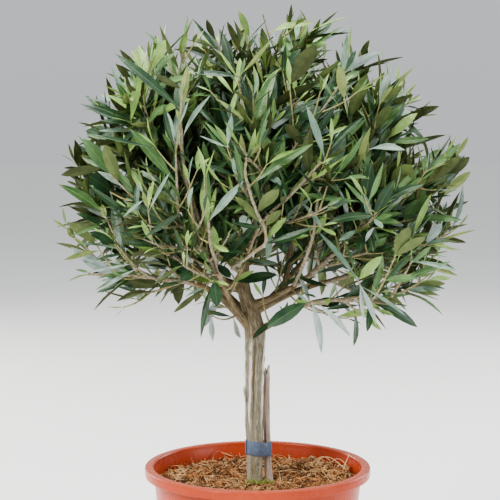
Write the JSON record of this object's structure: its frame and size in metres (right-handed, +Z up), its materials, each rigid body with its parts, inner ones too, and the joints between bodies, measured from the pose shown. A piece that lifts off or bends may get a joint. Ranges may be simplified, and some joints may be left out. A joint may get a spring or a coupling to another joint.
{
  "type": "potted olive tree",
  "caption": "Young standard olive tree with a round leafy crown on a short trunk, standing in a round plastic nursery pot filled with coir.",
  "frame": {"origin": "centre of the pot's flat underside", "axes": "+Z up the trunk, +X to the tree's right as seen from the front, +Y to the back"},
  "size_m": [0.3666, 0.344, 0.57],
  "materials": {
    "pot_plastic": "satin terracotta-coloured plastic",
    "coir": "loose brown coconut fibre over potting soil",
    "bark": "smooth grey-beige young bark with long ridges",
    "dry_wood": "dry cracked wood",
    "tie_tape": "slate-blue stretch tape",
    "foliage": "leathery leaves, green above and silver below"
  },
  "bodies": {
    "root": {"pot": "pot_plastic", "coir_soil": "coir", "trunk": "bark", "cut_side_stem": "dry_wood", "tie_band": "tie_tape", "bough_left_low": "bark", "bough_left_high": "bark", "bough_upper_left": "bark", "bough_centre": "bark", "bough_front": "bark", "bough_front_left": "bark", "bough_right_mid": "bark", "bough_right_far": "bark", "bough_upper_right": "bark", "bough_right_low": "bark", "bough_back": "bark", "bough_back_left": "bark", "bough_back_right": "bark", "foliage_left_low": "foliage", "foliage_left_high": "foliage", "foliage_upper_left": "foliage", "foliage_centre": "foliage", "foliage_front": "foliage", "foliage_front_left": "foliage", "foliage_right_mid": "foliage", "foliage_right_far": "foliage", "foliage_upper_right": "foliage", "foliage_right_low": "foliage", "foliage_back": "foliage", "foliage_back_left": "foliage", "foliage_back_right": "foliage"}
  },
  "joints": []
}
